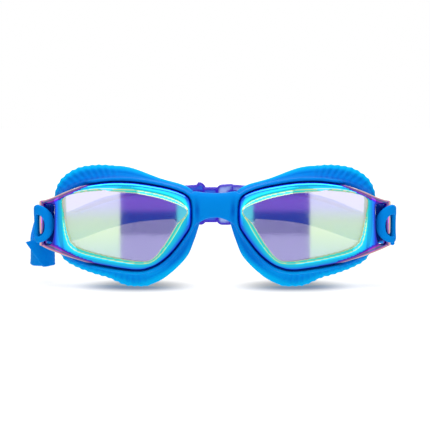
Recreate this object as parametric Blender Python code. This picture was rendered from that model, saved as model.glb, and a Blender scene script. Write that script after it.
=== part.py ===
"""Swim goggles: a silicone frame with two eye seals, two mirrored lenses with side arms, and a strap that
closes behind the head in a plug-and-socket clasp. Metres, +Z up, the wearer looks along -Y, and the goggles
stand on the two lowest lobes of the eye seals. Shapes are worked out in millimetres and scaled in one place."""

import math

import bmesh
import bpy
import numpy as np
from mathutils import Vector

MM = 0.001
TURN = 2 * math.pi
GAP = 0.35

# Driving dimensions, in millimetres.
FRONT_Y = -1.1
REAR_Y = 128.9
SHIFT_Y = -(FRONT_Y + REAR_Y) / 2
CUP_CENTRE = (38.0, 27.5)
CUP_STEPS = 72
LENS_THICK = 2.4
LENS_TURN = math.radians(8)
LENS_NOSE_X = 10.0
WINDOW_RAISE = 1.4
ARM_START_X = 65.0
ARM_TURN = math.radians(62)
BAR_X = 75.0
BAR_R = 1.6
BAR_LOW, BAR_HIGH = 17.8, 37.8
STRAP_THICK = 2.0
STRAP_Z = 27.8
STRAP_TALL = 13.5
STRAP_SAG = 9.0
EYE_TALL = 16.6
EYE_HOLE_LOW, EYE_HOLE_HIGH = 22.3, 31.7
TONGUE_TALL = 11.0
TAIL_LAP = STRAP_THICK + 0.45
LOOP_HALF_WIDE = 82.0
LOOP_WIDEST_Y = 78.0
LOOP_FRONT_REACH = 161.0
CLASP_Y = 125.0
CLASP_THICK = 2.6
CLASP_TALL = 20.0
CLASP_HALF_WIDE = 21.0
CLASP_BEND = 2.9

# Outlines of the right-hand cup as seen from the front, as (x, z) points on smooth closed curves.
RIM = [
    (10.0, 32.5), (10.6, 38.7), (13.0, 41.5), (19.0, 43.8), (27.6, 45.5), (36.1, 46.5), (45.5, 46.5),
    (55.0, 45.2), (63.5, 42.6), (67.2, 39.0), (67.8, 28.5), (66.8, 18.0), (63.0, 13.6), (51.5, 10.7),
    (38.5, 8.8), (33.0, 8.5), (29.0, 9.2), (24.0, 11.5), (18.7, 16.0), (13.6, 22.5), (10.6, 27.5),
]
WINDOW = [
    (12.0, 34.7), (20.8, 38.9), (31.9, 41.4), (40.0, 42.1), (51.4, 42.5), (64.6, 39.8), (64.6, 33.0),
    (63.6, 26.4), (61.6, 20.5), (57.8, 17.9), (50.0, 15.7), (41.0, 13.9), (31.0, 12.7), (26.0, 14.5),
    (20.8, 21.3), (16.4, 28.5),
]
LIP = [
    (5.6, 32.5), (6.8, 26.1), (9.8, 17.6), (12.8, 12.5), (18.3, 6.8), (24.4, 2.4), (33.4, -1.0), (40.4, 0.5),
    (46.6, 3.1), (53.8, 5.0), (61.8, 8.0), (67.4, 11.8), (70.2, 19.0), (70.8, 28.5), (70.8, 39.5),
    (68.8, 45.4), (65.2, 49.2), (59.6, 52.1), (51.8, 53.3), (45.4, 53.1), (36.2, 52.0), (23.6, 47.6),
    (13.0, 44.5), (7.0, 40.0),
]

ANGLES = np.arange(CUP_STEPS) * TURN / CUP_STEPS


def smooth_closed(points, steps=10):
    """A closed Catmull-Rom curve through the points."""
    count = len(points)
    curve = []
    for i in range(count):
        a, b, c, d = (np.array(points[(i + k) % count]) for k in (-1, 0, 1, 2))
        for t in np.arange(steps) / steps:
            curve.append(0.5 * (2 * b + (c - a) * t + (2 * a - 5 * b + 4 * c - d) * t**2
                                + (3 * b - a - 3 * c + d) * t**3))
    return curve


def radii(points):
    """The outline's distance from the cup's centre at each of ANGLES."""
    polar = []
    for x, z in smooth_closed(points):
        dx, dz = x - CUP_CENTRE[0], z - CUP_CENTRE[1]
        polar.append((math.atan2(dz, dx) % TURN, math.hypot(dx, dz)))
    polar.sort()
    return np.interp(ANGLES, [p[0] for p in polar], [p[1] for p in polar], period=TURN)


def face_turn(x):
    """How far the lens face is turned outwards at this distance from the middle."""
    if x <= ARM_START_X:
        return LENS_TURN
    share = (min(x, BAR_X) - ARM_START_X) / (BAR_X - ARM_START_X)
    low, high = math.sin(LENS_TURN), math.sin(ARM_TURN)
    return math.asin(low + share * (high - low))


def face_y(x):
    """The lens's front face: flat over the eye, then bending back along the arm."""
    flat = (min(x, ARM_START_X) - LENS_NOSE_X) * math.tan(LENS_TURN)
    if x <= ARM_START_X:
        return flat
    bend = (BAR_X - ARM_START_X) / (math.sin(ARM_TURN) - math.sin(LENS_TURN))
    return flat + bend * (math.cos(LENS_TURN) - math.cos(face_turn(x)))


BAR_Y = face_y(BAR_X) + 2.0


def ring(radius, depth):
    """One ring of points round the cup, at this radius and this depth behind the front plane."""
    points = []
    for angle, r, y in zip(ANGLES, radius, depth):
        x = CUP_CENTRE[0] + r * math.cos(angle)
        z = CUP_CENTRE[1] + r * math.sin(angle)
        points.append((x, y, max(z, 0.0)))
    return points


def ring_x(radius):
    return CUP_CENTRE[0] + radius * np.cos(ANGLES)


def loft(rings, closed, cap=False):
    """Quads between rings of equal length; closed joins the last ring to the first, cap fills both ends."""
    size = len(rings[0])
    points = [p for one in rings for p in one]
    faces = []
    for k in range(len(rings) if closed else len(rings) - 1):
        for i in range(size):
            j = (i + 1) % size
            a, b = k * size, (k + 1) % len(rings) * size
            faces.append((a + i, a + j, b + j, b + i))
    if cap:
        faces.append(tuple(reversed(range(size))))
        faces.append(tuple(range(len(points) - size, len(points))))
    return points, faces


def make(name, points, faces, side=1, pivot=(0, 0, 0)):
    """An object of these points; side -1 mirrors it to the wearer's other eye, pivot is its origin."""
    place = Vector((pivot[0] * side, pivot[1] + SHIFT_Y, pivot[2])) * MM
    mesh = bpy.data.meshes.new(name)
    shifted = [Vector((x * side, y + SHIFT_Y, z)) * MM - place for x, y, z in points]
    mesh.from_pydata(shifted, [], faces)
    body = bmesh.new()
    body.from_mesh(mesh)
    bmesh.ops.recalc_face_normals(body, faces=body.faces)
    if body.calc_volume(signed=True) < 0:
        bmesh.ops.reverse_faces(body, faces=body.faces)
    body.to_mesh(mesh)
    body.free()
    thing = bpy.data.objects.new(name, mesh)
    thing.location = place
    bpy.context.scene.collection.objects.link(thing)
    return thing


def box(name, low, high, side=1, pivot=(0, 0, 0)):
    corners = [(x, y, z) for z in (low[2], high[2]) for x, y in
               ((low[0], low[1]), (high[0], low[1]), (high[0], high[1]), (low[0], high[1]))]
    return make(name, *loft([corners[:4], corners[4:]], False, True), side, pivot)


def combine(base, other, operation):
    """Joins the other object to the base, or cuts it away, and drops the other object."""
    change = base.modifiers.new(operation.lower(), "BOOLEAN")
    change.operation = operation
    change.solver = "EXACT"
    change.object = other
    graph = bpy.context.evaluated_depsgraph_get()
    result = bpy.data.meshes.new_from_object(base.evaluated_get(graph))
    base.modifiers.clear()
    base.data = result
    bpy.data.objects.remove(other)


def material(name, colour, roughness, alpha=1.0):
    made = bpy.data.materials.new(name)
    made.use_nodes = True
    shader = made.node_tree.nodes["Principled BSDF"]
    shader.inputs["Base Color"].default_value = (*colour, 1)
    shader.inputs["Roughness"].default_value = roughness
    shader.inputs["Alpha"].default_value = alpha
    return made


def finish(thing, look):
    thing.data.materials.clear()
    thing.data.materials.append(look)
    thing.data.shade_smooth()
    thing.data.set_sharp_from_angle(angle=math.radians(35))


# Silicone frame.

def seal_depth():
    """How far back the seal's lip lies: deeper at the temple than at the nose."""
    return 20.5 + 6.0 * np.cos(ANGLES)


def cup(side):
    """One eye seal: a groove for the lens at the front, a flaring wall, and a lip turned in to the face."""
    rim, lip, back = radii(RIM), radii(LIP), seal_depth()
    face = np.array([face_y(x) for x in ring_x(rim)])
    # Past the rim's outer end the arm runs over the silicone, so the bead there drops behind the lens.
    drop = np.clip((ring_x(rim) - 52) / 4, 0, 1)
    narrow = np.clip((ring_x(rim) - 57) / 6, 0, 1)
    sheet = LENS_THICK + GAP
    wall = lip - rim

    def sunk(depth, behind):
        return face + depth * (1 - drop) + (sheet + behind) * drop

    rings = [
        ring(rim - 2.2, face + sheet),
        ring(rim + GAP - 1.7 * narrow, face + sheet),
        ring(rim + GAP - 1.1 * narrow, sunk(0.2, 0.05)),
        ring(rim + 1.0 - 1.3 * narrow, sunk(-0.5, 0.2)),
        ring(rim + 1.7 - 1.6 * narrow, sunk(0.2, 0.6)),
        ring(rim + 0.5 + 0.25 * wall, face + 0.35 * (back - face) + 0.8 * drop),
        ring(rim + 0.4 + 0.55 * wall, face + 0.68 * (back - face)),
        ring(lip, back - 2.2),
        ring(lip - 0.4, back - 0.4),
        ring(lip - 2.0, back + 0.2),
        ring(lip - 5.5, back - 1.0),
        ring(lip - 5.2, back - 2.6),
        ring(rim - 1.4 + 0.1 * wall, face + 0.55 * (back - face)),
    ]
    return make("cup", *loft(rings, True), side)


def bridge():
    """The saddle between the eye seals: a rounded bar, tall where it meets them and low over the nose."""
    rings = []
    for x in np.linspace(-8.4, 8.4, 15):
        spread = (x / 8.4) ** 2
        top, bottom = 41.9 + 0.9 * spread, 31.3 - 3.6 * spread
        middle, half = (top + bottom) / 2, (top - bottom) / 2
        front, back = 0.5 - 0.4 * spread, 7.0 + 1.2 * spread
        deep, depth = (front + back) / 2, (back - front) / 2
        section = []
        for k in range(20):
            turn = k * TURN / 20
            bulge = 0.55
            y = math.copysign(abs(math.cos(turn)) ** bulge, math.cos(turn)) * depth + deep
            z = math.copysign(abs(math.sin(turn)) ** bulge, math.sin(turn)) * half + middle
            section.append((x, y, z))
        rings.append(section)
    return make("frame_skirt", *loft(rings, False, True))


def frame_skirt():
    frame = bridge()
    combine(frame, cup(1), "UNION")
    combine(frame, cup(-1), "UNION")
    return frame


# Lenses.

def rail(low_points, high_points):
    """One rail of the arm, between two edge curves given as (x, z) points at the same places."""
    rings = []
    for (x, low), (_, high) in zip(low_points, high_points):
        y = face_y(x)
        back = y + LENS_THICK / math.cos(face_turn(x))
        rings.append([(x, y, low), (x, y, high), (x, back, high), (x, back, low)])
    return loft(rings, False, True)


ARM_TOP = [(61.0, 43.2), (65.0, 41.9), (68.0, 40.6), (71.0, 39.4), (74.0, 38.4), (76.2, 37.9)]
SLOT_TOP = [(61.0, 37.2), (65.0, 37.0), (68.0, 36.6), (71.0, 36.5), (74.0, 36.5), (76.2, 36.5)]
SLOT_LOW = [(61.0, 20.1), (65.0, 19.7), (68.0, 19.3), (71.0, 19.1), (74.0, 19.1), (76.2, 19.1)]
ARM_LOW = [(61.0, 13.8), (65.0, 14.4), (68.0, 15.3), (71.0, 16.2), (74.0, 17.0), (76.2, 17.4)]


def lens(name, side):
    """A flat window raised on bevels, with a rim that seats in the silicone and an arm with a strap slot."""
    rim, window = radii(RIM), radii(WINDOW)
    face = np.array([face_y(x) for x in ring_x(rim)])
    raised = np.array([face_y(min(x, ARM_START_X)) for x in ring_x(window)]) - WINDOW_RAISE
    middle_y = face_y(CUP_CENTRE[0])
    inner = window * 0.4
    inner_y = np.array([face_y(x) for x in ring_x(inner)])
    rings = [
        ring(inner, inner_y - WINDOW_RAISE),
        ring(window, raised),
        ring((rim + window) / 2, (face - 0.5 + raised) / 2),
        ring(rim - 0.5, face),
        ring(rim, face + 0.6),
        ring(rim, face + LENS_THICK),
        ring(window - 1.2, raised + WINDOW_RAISE + LENS_THICK - 1.2),
        ring(inner, inner_y + LENS_THICK - 1.2),
    ]
    points, faces = loft(rings, False)
    front, back = len(points), len(points) + 1
    points.append((CUP_CENTRE[0], middle_y - WINDOW_RAISE, CUP_CENTRE[1]))
    points.append((CUP_CENTRE[0], middle_y + LENS_THICK - 1.2, CUP_CENTRE[1]))
    last = (len(rings) - 1) * CUP_STEPS
    for i in range(CUP_STEPS):
        j = (i + 1) % CUP_STEPS
        faces.append((front, j, i))
        faces.append((back, last + i, last + j))
    whole = make(name, points, faces, side)
    combine(whole, make("top", *rail(SLOT_TOP, ARM_TOP), side), "UNION")
    combine(whole, make("low", *rail(ARM_LOW, SLOT_LOW), side), "UNION")
    bar = []
    for z in (BAR_LOW, BAR_HIGH):
        bar.append([(BAR_X + BAR_R * math.cos(a), BAR_Y + BAR_R * math.sin(a), z)
                    for a in np.arange(20) * TURN / 20])
    combine(whole, make("bar", *loft(bar, False, True), side), "UNION")
    return whole


# Straps.

def sweep(path, heights, middles, leans, thick=STRAP_THICK):
    """A band along the path. Heights and middles give each section's place in Z, and its lean is how many
    degrees its top is turned from upright towards the path's end."""
    rings = []
    count = len(path)
    for i, (x, y) in enumerate(path):
        before, after = path[max(i - 1, 0)], path[min(i + 1, count - 1)]
        along = Vector((after[0] - before[0], after[1] - before[1])).normalized()
        nx, ny = -along.y * thick / 2, along.x * thick / 2
        lean = math.radians(leans[i])
        rise, reach = heights[i] / 2 * math.cos(lean), heights[i] / 2 * math.sin(lean)
        sx, sy = along.x * reach, along.y * reach
        low, high = middles[i] - rise, middles[i] + rise
        rings.append([(x - sx + nx, y - sy + ny, low), (x - sx - nx, y - sy - ny, low),
                      (x + sx - nx, y + sy - ny, high), (x + sx + nx, y + sy + ny, high)])
    return loft(rings, False, True)


def loop_part(out, back, first, last, steps):
    """Part of the loop's middle line round the head, in degrees; 0 is its widest place, 90 the rear."""
    line = []
    for angle in np.linspace(math.radians(first), math.radians(last), steps):
        reach = back - LOOP_WIDEST_Y if angle > 0 else LOOP_FRONT_REACH
        line.append((out * math.cos(angle), LOOP_WIDEST_Y + reach * math.sin(angle)))
    return line


def arc(centre, radius, first, last, steps):
    turns = np.linspace(math.radians(first), math.radians(last), steps)
    return [(centre[0] + radius * math.cos(a), centre[1] + radius * math.sin(a)) for a in turns]


# The eye's middle line, from the bar's axis: up through the slot, round the bar's front, and back.
EYE_LINE = [
    (-3.9, -0.2), (-4.4, -2.2), (-4.0, -4.1), (-2.4, -4.9), (-1.0, -4.6), (0.3, -4.0), (1.6, -3.1),
    (2.6, -1.8), (3.05, 0.0), (3.1, 3.3), (3.5, 8.3), (4.0, 14.0),
]
TONGUE_LINE = [(-4.15, -1.4), (-3.7, 0.8), (-2.3, 3.6), (-0.4, 6.6), (1.6, 9.4), (3.2, 12.4), (4.0, 15.5)]


# The longer tail's free end, as (x, y, middle z, lean): it drops below the strap, turns in under it, and curls
# out again in front.
TAIL_CURL = [
    (84.4, 70.0, 17.4, 6), (84.3, 63.0, 15.2, 14), (84.2, 56.5, 13.0, 22), (83.6, 51.0, 11.9, 26),
    (81.6, 46.6, 11.7, 26), (78.6, 43.2, 12.1, 22), (75.4, 40.2, 12.8, 16), (73.0, 36.4, 13.6, 12),
    (73.2, 32.2, 14.0, 14), (75.3, 29.2, 13.9, 20), (77.8, 27.8, 13.4, 27), (80.3, 27.2, 13.0, 34),
]


def ease(value, low, high):
    share = min(1.0, max(0.0, (value - low) / (high - low)))
    return share * share * (3 - 2 * share)


def strap_middle(y):
    """Height of the band's middle line: it sags between the arm and the clasp."""
    return STRAP_Z - STRAP_SAG * ease(y, 35, 80) * (1 - ease(y, 100, CLASP_Y - CLASP_BEND - 0.5))


def strap(name, side, tail_end, curl=()):
    """One silicone band, from the eye round the arm's bar to the free tail outside it."""
    pivot = (BAR_X, BAR_Y, STRAP_Z)
    eye = [(BAR_X + x, BAR_Y + y) for x, y in EYE_LINE]
    head = loop_part(LOOP_HALF_WIDE, CLASP_Y - CLASP_BEND, -14.5, 66, 30)
    bar_x = CLASP_HALF_WIDE - 9.25
    bend = [(bar_x + 9.0, CLASP_Y - CLASP_BEND), (bar_x + 4.0, CLASP_Y - CLASP_BEND)]
    bend += arc((bar_x, CLASP_Y), CLASP_BEND, 270, 90, 12)
    bend += [(bar_x + 4.0, CLASP_Y + CLASP_BEND), (bar_x + 9.0, CLASP_Y + CLASP_BEND)]
    tail = loop_part(LOOP_HALF_WIDE + TAIL_LAP, CLASP_Y + CLASP_BEND - 0.9, 62, tail_end, 26)
    path = eye + head + bend + tail + [point[:2] for point in curl]
    heights, middles, leans = [], [], []
    for i in range(len(path)):
        narrow = EYE_TALL - TONGUE_TALL
        taper = min(1.0, max(0.0, (i - len(eye)) / 6))
        heights.append(EYE_TALL - narrow * max(0.0, 1 - i / 5) ** 2 + (STRAP_TALL - EYE_TALL) * taper)
        place = i - (len(path) - len(curl))
        middles.append(strap_middle(path[i][1]) if place < 0 else curl[place][2])
        leans.append(0 if place < 0 else curl[place][3])
    band = make(name, *sweep(path, heights, middles, leans), side, pivot)
    tongue = [(BAR_X + x, BAR_Y + y) for x, y in TONGUE_LINE]
    count = len(tongue)
    inner = make("tongue", *sweep(tongue, [TONGUE_TALL] * count, [STRAP_Z] * count, [0] * count), side, pivot)
    combine(band, inner, "UNION")
    window = box("window", (BAR_X - 1.9, BAR_Y - 8, EYE_HOLE_LOW), (BAR_X + 2.2, BAR_Y - 0.2, EYE_HOLE_HIGH),
                 side, pivot)
    combine(band, window, "DIFFERENCE")
    return band


# Clasp.

def clasp_plate(name, side, inner_x):
    """A plate with two strap slots and the two bars beside them."""
    half = CLASP_TALL / 2
    low_y, high_y = CLASP_Y - CLASP_THICK / 2, CLASP_Y + CLASP_THICK / 2
    corner = 3.0
    outline = []
    for x, z, start in ((CLASP_HALF_WIDE - corner, half - corner, 0), (inner_x, half, None),
                        (inner_x, -half, None), (CLASP_HALF_WIDE - corner, corner - half, -90)):
        if start is None:
            outline.append((x, z))
            continue
        for k in range(6):
            a = math.radians(start + 18 * k)
            outline.append((x + corner * math.cos(a), z + corner * math.sin(a)))
    rings = [[(x, y, z + STRAP_Z) for x, z in outline] for y in (low_y, high_y)]
    plate = make(name, *loft(rings, False, True), side)
    tall = STRAP_TALL / 2 + 0.6
    wide = CLASP_HALF_WIDE
    for low, high in ((wide - 8.0, wide - 2.5), (wide - 13.8, wide - 10.5)):
        combine(plate, box("slot", (low, CLASP_Y - 5, STRAP_Z - tall), (high, CLASP_Y + 5, STRAP_Z + tall), side),
                "DIFFERENCE")
    return plate


def clasp_socket():
    """The left half: its inner end is a flat sleeve, open towards the plug."""
    half = clasp_plate("clasp_socket", -1, 5.0)
    sleeve = box("sleeve", (-0.5, CLASP_Y - 2.3, STRAP_Z - 8.5), (6.4, CLASP_Y + 2.3, STRAP_Z + 8.5), -1)
    combine(half, sleeve, "UNION")
    pocket = box("pocket", (-1.5, CLASP_Y - 1.1, STRAP_Z - 6.6), (5.6, CLASP_Y + 1.1, STRAP_Z + 6.6), -1)
    combine(half, pocket, "DIFFERENCE")
    return half


def clasp_plug():
    """The right half: its tongue lies in the socket's sleeve."""
    half = clasp_plate("clasp_plug", 1, 1.2)
    tongue = box("tongue", (-4.6, CLASP_Y - 0.7, STRAP_Z - 6.1), (2.0, CLASP_Y + 0.7, STRAP_Z + 6.1), 1)
    combine(half, tongue, "UNION")
    return half


for old in list(bpy.data.objects):
    bpy.data.objects.remove(old)

SILICONE = material("silicone_blue", (0.0, 0.30, 0.85), 0.45)
MIRROR = material("mirror_lens", (0.1, 0.75, 0.95), 0.08)
CLASP = material("clasp_violet", (0.25, 0.22, 0.9), 0.2, 0.7)

finish(frame_skirt(), SILICONE)
finish(lens("lens_right", 1), MIRROR)
finish(lens("lens_left", -1), MIRROR)
finish(strap("strap_right", 1, -1), SILICONE)
finish(strap("strap_left", -1, 0, TAIL_CURL), SILICONE)
finish(clasp_socket(), CLASP)
finish(clasp_plug(), CLASP)
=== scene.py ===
"""Swim goggles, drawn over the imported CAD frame: one moulded silicone frame, two mirrored lenses with arms,
two ribbed strap bands and a two-part clasp. Sizes are in millimetres, in the same frame as part.py."""

import math

import bmesh
import bpy
import numpy as np
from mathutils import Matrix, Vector
from mathutils.geometry import delaunay_2d_cdt


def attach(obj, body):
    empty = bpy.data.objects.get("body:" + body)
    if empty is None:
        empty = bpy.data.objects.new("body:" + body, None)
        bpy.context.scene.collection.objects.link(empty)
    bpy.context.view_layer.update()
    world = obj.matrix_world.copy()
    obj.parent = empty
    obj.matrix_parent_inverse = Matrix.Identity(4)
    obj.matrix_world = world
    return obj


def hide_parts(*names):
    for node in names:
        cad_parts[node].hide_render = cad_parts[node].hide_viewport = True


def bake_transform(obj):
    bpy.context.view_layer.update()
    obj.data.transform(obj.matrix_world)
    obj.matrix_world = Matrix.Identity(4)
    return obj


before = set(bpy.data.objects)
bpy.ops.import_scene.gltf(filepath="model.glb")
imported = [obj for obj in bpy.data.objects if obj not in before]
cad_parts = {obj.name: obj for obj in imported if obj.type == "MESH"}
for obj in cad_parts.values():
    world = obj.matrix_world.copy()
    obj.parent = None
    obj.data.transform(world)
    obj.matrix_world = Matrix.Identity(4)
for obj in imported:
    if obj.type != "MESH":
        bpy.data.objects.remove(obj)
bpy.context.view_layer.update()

MM = 0.001
TURN = 2 * math.pi

# The sizes part.py is driven by.
SHIFT_Y = -63.9
CUP_CENTRE = (38.0, 27.5)
LENS_THICK = 2.4
LENS_TURN = math.radians(8)
LENS_NOSE_X = 10.0
WINDOW_RAISE = 1.4
ARM_START_X = 65.0
ARM_TURN = math.radians(62)
ARM_END_X = 76.2
BAR_X = 75.0
BAR_R = 1.6
BAR_LOW, BAR_HIGH = 17.8, 37.8
GAP = 0.35
STRAP_THICK = 2.0
STRAP_Z = 27.8
STRAP_TALL = 13.5
STRAP_SAG = 9.0
EYE_TALL = 16.6
TONGUE_TALL = 16.6
TAIL_LAP = STRAP_THICK + 0.45
LOOP_HALF_WIDE = 82.0
LOOP_WIDEST_Y = 78.0
LOOP_FRONT_REACH = 161.0
CLASP_Y = 125.0
CLASP_THICK = 2.6
CLASP_TALL = 20.0
CLASP_HALF_WIDE = 21.0
CLASP_BEND = 2.9

# Details that only the look has.
RIB_PITCH = 3.1
RIB_DEPTH = 0.42
SCALLOP = 0.17
VOXEL = 0.45
LENS_ROUND = 1.1
SHELF = 0.3
BAND_ROUND = 0.9
BAND_RIB_PITCH = 2.3
BAND_RIB_DEPTH = 0.2

# The view, in metres and degrees: what it looks at, from how far, its width there, and how high it stands.
VIEW_AIM = Vector((0.0, -0.0639, 0.0327))
VIEW_FAR = 0.65
VIEW_WIDE = 0.18275
VIEW_RISE = 4.5
SENSOR_MM = 36.0

RIM = [
    (10.0, 32.5), (10.6, 38.7), (13.0, 41.5), (19.0, 43.8), (27.6, 45.5), (36.1, 46.5), (45.5, 46.5),
    (55.0, 45.2), (63.5, 42.6), (67.2, 39.0), (67.8, 28.5), (66.8, 18.0), (63.0, 13.6), (51.5, 10.7),
    (38.5, 8.8), (33.0, 8.5), (29.0, 9.2), (24.0, 11.5), (18.7, 16.0), (13.6, 22.5), (10.6, 27.5),
]
WINDOW = [
    (12.0, 34.7), (20.8, 38.9), (31.9, 41.4), (40.0, 42.1), (51.4, 42.5), (64.6, 39.8), (64.6, 33.0),
    (63.6, 26.4), (61.6, 20.5), (57.8, 17.9), (50.0, 15.7), (41.0, 13.9), (31.0, 12.7), (26.0, 14.5),
    (20.8, 21.3), (16.4, 28.5),
]
LIP = [
    (5.6, 32.5), (6.8, 26.1), (9.8, 17.6), (12.8, 12.5), (18.3, 6.8), (24.4, 2.4), (33.4, -1.0), (40.4, 0.5),
    (46.6, 3.1), (53.8, 5.0), (61.8, 8.0), (67.4, 11.8), (70.2, 19.0), (70.8, 28.5), (70.8, 39.5),
    (68.8, 45.4), (65.2, 49.2), (59.6, 52.1), (51.8, 53.3), (45.4, 53.1), (36.2, 52.0), (23.6, 47.6),
    (13.0, 44.5), (7.0, 40.0),
]
# The lens with its arm, as one outline from the arm's upper end round the nose to its lower end.
LENS_EDGE = [
    (ARM_END_X, 37.9), (74.0, 38.4), (71.0, 39.4), (68.0, 40.6), (65.0, 41.9), (60.5, 43.6), (55.0, 45.2),
    (45.5, 46.5), (36.1, 46.5), (27.6, 45.5), (19.0, 43.8), (13.0, 41.5), (10.6, 38.7), (10.0, 32.5),
    (10.6, 27.5), (13.6, 22.5), (18.7, 16.0), (24.0, 11.5), (29.0, 9.2), (33.0, 8.5), (38.5, 8.8),
    (51.5, 10.7), (60.0, 12.9), (65.0, 14.4), (68.0, 15.3), (71.0, 16.2), (74.0, 17.0), (ARM_END_X, 17.4),
]
# The strap slot's edge, from its lower outer end to its upper one. The bar closes it on the outside.
SLOT = [
    (ARM_END_X, 19.2), (74.0, 19.2), (72.0, 19.3), (71.0, 20.1), (70.1, 23.5), (69.7, 29.0), (69.7, 35.4),
    (70.0, 36.1), (70.8, 36.4), (74.0, 36.4), (ARM_END_X, 36.4),
]


# Curves and outlines.

def catmull(points, steps, closed=True):
    """A Catmull-Rom curve through the points, as an array."""
    count = len(points)
    curve = []
    for i in range(count if closed else count - 1):
        if closed:
            a, b, c, d = (np.array(points[(i + k) % count], float) for k in (-1, 0, 1, 2))
        else:
            a, b, c, d = (np.array(points[min(max(i + k, 0), count - 1)], float) for k in (-1, 0, 1, 2))
        for t in np.arange(steps) / steps:
            curve.append(0.5 * (2 * b + (c - a) * t + (2 * a - 5 * b + 4 * c - d) * t**2
                                + (3 * b - a - 3 * c + d) * t**3))
    if not closed:
        curve.append(np.array(points[-1], float))
    return np.array(curve)


def even(points, spacing, closed=True):
    """The same polyline with points a fixed distance apart."""
    points = np.array(points, float)
    if closed:
        points = np.vstack([points, points[:1]])
    steps = np.hypot(*np.diff(points, axis=0).T[:2])
    along = np.concatenate([[0], np.cumsum(steps)])
    count = max(int(round(along[-1] / spacing)), 4)
    where = np.linspace(0, along[-1], count + 1)
    if closed:
        where = where[:-1]
    return np.stack([np.interp(where, along, points[:, k]) for k in range(points.shape[1])], 1)


def inside(points, loop):
    """Which of the points lie inside the closed loop."""
    x, y = points[:, 0], points[:, 1]
    found = np.zeros(len(points), bool)
    for (ax, ay), (bx, by) in zip(loop, np.roll(loop, -1, axis=0)):
        crosses = (ay > y) != (by > y)
        if by != ay:
            found ^= crosses & (x < (bx - ax) * (y - ay) / (by - ay) + ax)
    return found


def distance(points, loop, closed=True):
    """Each point's distance from the polyline."""
    best = np.full(len(points), 1e9)
    ends = np.roll(loop, -1, axis=0) if closed else loop[1:]
    for a, b in zip(loop, ends):
        way = b - a
        length = way @ way
        share = np.clip(((points - a) @ way) / length, 0, 1) if length > 1e-12 else np.zeros(len(points))
        near = a + share[:, None] * way
        best = np.minimum(best, np.hypot(*(points - near).T))
    return best


def smooth(value, low, high):
    """0 below low, 1 above high, and an even change between them."""
    share = np.clip((value - low) / (high - low), 0, 1)
    return share * share * (3 - 2 * share)


def radii(points, angles):
    """The outline's distance from the cup's centre at each of the angles."""
    curve = catmull(points, 12) - np.array(CUP_CENTRE)
    turn = np.arctan2(curve[:, 1], curve[:, 0]) % TURN
    order = np.argsort(turn)
    return np.interp(angles % TURN, turn[order], np.hypot(*curve.T)[order], period=TURN)


def face_turn(x):
    """How far the lens's front face is turned back at this distance from the middle."""
    share = np.clip((np.minimum(x, BAR_X) - ARM_START_X) / (BAR_X - ARM_START_X), 0, 1)
    low, high = math.sin(LENS_TURN), math.sin(ARM_TURN)
    return np.arcsin(low + share * (high - low))


def face_y(x):
    """The lens's front face: flat over the eye, then bending back along the arm."""
    x = np.asarray(x, float)
    flat = (np.minimum(x, ARM_START_X) - LENS_NOSE_X) * math.tan(LENS_TURN)
    bend = (BAR_X - ARM_START_X) / (math.sin(ARM_TURN) - math.sin(LENS_TURN))
    past = np.maximum(x - BAR_X, 0) * math.tan(ARM_TURN)
    return flat + bend * (math.cos(LENS_TURN) - np.cos(face_turn(x))) + past


BAR_Y = float(face_y(BAR_X)) + 2.0


# Meshes.

def make(name, points, faces, side=1, attributes=None):
    """A mesh object of points in millimetres; side -1 mirrors it to the other eye."""
    points = np.array(points, float) * (side, 1, 1) + (0, SHIFT_Y, 0)
    mesh = bpy.data.meshes.new(name)
    mesh.from_pydata([tuple(p) for p in points * MM], [], [tuple(int(i) for i in f) for f in faces])
    for key, values in (attributes or {}).items():
        add_layer(mesh, key, values)
    body = bmesh.new()
    body.from_mesh(mesh)
    bmesh.ops.recalc_face_normals(body, faces=body.faces)
    if body.calc_volume(signed=True) < 0:
        bmesh.ops.reverse_faces(body, faces=body.faces)
    body.to_mesh(mesh)
    body.free()
    mesh.shade_smooth()
    thing = bpy.data.objects.new(name, mesh)
    bpy.context.scene.collection.objects.link(thing)
    return thing


def read_points(mesh):
    points = np.zeros(len(mesh.vertices) * 3)
    mesh.vertices.foreach_get("co", points)
    return points.reshape(-1, 3)


def write_points(mesh, points):
    mesh.vertices.foreach_set("co", points.ravel())
    mesh.update()


def read_edges(mesh):
    ends = np.zeros(len(mesh.edges) * 2, int)
    mesh.edges.foreach_get("vertices", ends)
    return ends.reshape(-1, 2)


def add_layer(mesh, key, values):
    layer = mesh.attributes.new(key, "FLOAT", "POINT")
    layer.data.foreach_set("value", np.asarray(values, np.float32))


def loft(rings, closed, cap=False):
    """Four-sided faces between rings of equally many points, with flat ends if they are asked for."""
    size = len(rings[0])
    points = np.concatenate(rings)
    faces = []
    for k in range(len(rings) if closed else len(rings) - 1):
        for i in range(size):
            j = (i + 1) % size
            a, b = k * size, (k + 1) % len(rings) * size
            faces.append((a + i, a + j, b + j, b + i))
    if cap:
        faces.append(tuple(reversed(range(size))))
        faces.append(tuple(range(len(points) - size, len(points))))
    return points, faces


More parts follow.
